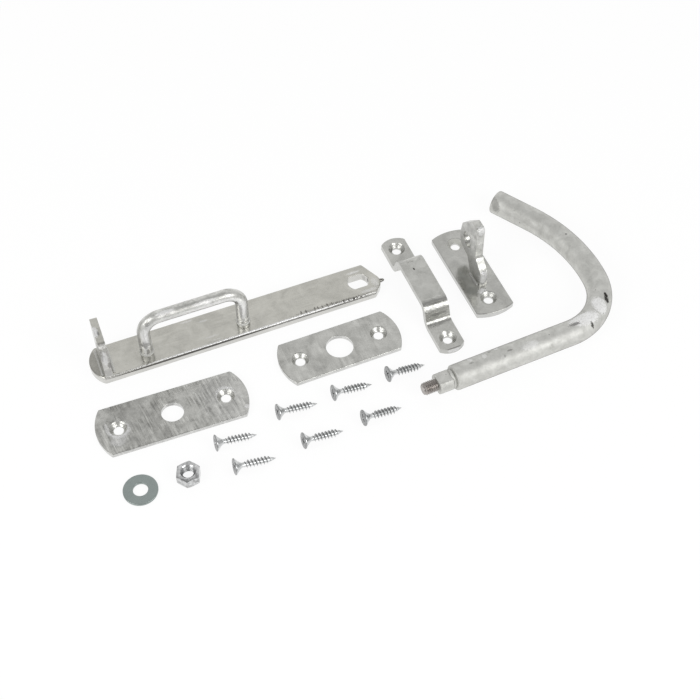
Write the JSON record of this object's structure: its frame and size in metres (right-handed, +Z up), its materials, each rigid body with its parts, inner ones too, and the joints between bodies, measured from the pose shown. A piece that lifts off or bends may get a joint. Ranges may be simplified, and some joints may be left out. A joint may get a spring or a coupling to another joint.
{
  "type": "stable door latch",
  "caption": "Galvanised stable door latch kit: flat bar with pull handle and padlock lug, round bow handle with keyed spindle, bearing plates, keeper, catch with hook, nut, washer and screws",
  "frame": {"origin": "on the surface that the pieces lie on, under the middle of the kit's box", "axes": "X runs along the latch bar from the padlock lug to the spindle slot, Y runs across the bar to the side away from the screws, Z is up from the surface"},
  "size_m": [0.3344, 0.1381, 0.046],
  "materials": {
    "galvanised_steel": "hot-dip galvanised, dull and mottled, with bright rounded edges",
    "zinc_plated_steel": "bright zinc plated"
  },
  "bodies": {
    "door_and_post_pieces": {"outer_plate": "galvanised_steel", "inner_plate": "galvanised_steel", "bar_keeper": "galvanised_steel", "catch_plate": "galvanised_steel", "catch_hook": "galvanised_steel", "hook_weld": "galvanised_steel", "spindle_nut": "zinc_plated_steel", "spindle_washer": "zinc_plated_steel", "screw_1": "zinc_plated_steel", "screw_2": "zinc_plated_steel", "screw_3": "zinc_plated_steel", "screw_4": "zinc_plated_steel", "screw_5": "zinc_plated_steel", "screw_6": "zinc_plated_steel", "screw_7": "zinc_plated_steel"},
    "latch_bar": {"latch_bar": "galvanised_steel", "pull_handle": "galvanised_steel", "handle_weld_1": "galvanised_steel", "handle_weld_2": "galvanised_steel", "padlock_lug": "galvanised_steel", "lug_weld": "galvanised_steel"},
    "bow_handle": {"bow_handle": "galvanised_steel"}
  },
  "joints": [
    {"name": "bow_handle_turn", "type": "hinge", "parent": "door_and_post_pieces", "child": "bow_handle", "pos_m": [0.04101, -0.0572, 0.00804], "axis": [0.9991, 0.0419, 0], "range_deg": [0, 11.5]},
    {"name": "latch_bar_lift", "type": "hinge", "parent": "door_and_post_pieces", "child": "latch_bar", "pos_m": [0.01921, 0.0373, 0], "axis": [0, 0, -1], "range_deg": [0, 11.5]}
  ],
  "couplings": [
    {"joint": "latch_bar_lift", "follows": "bow_handle_turn", "ratio": 1}
  ]
}
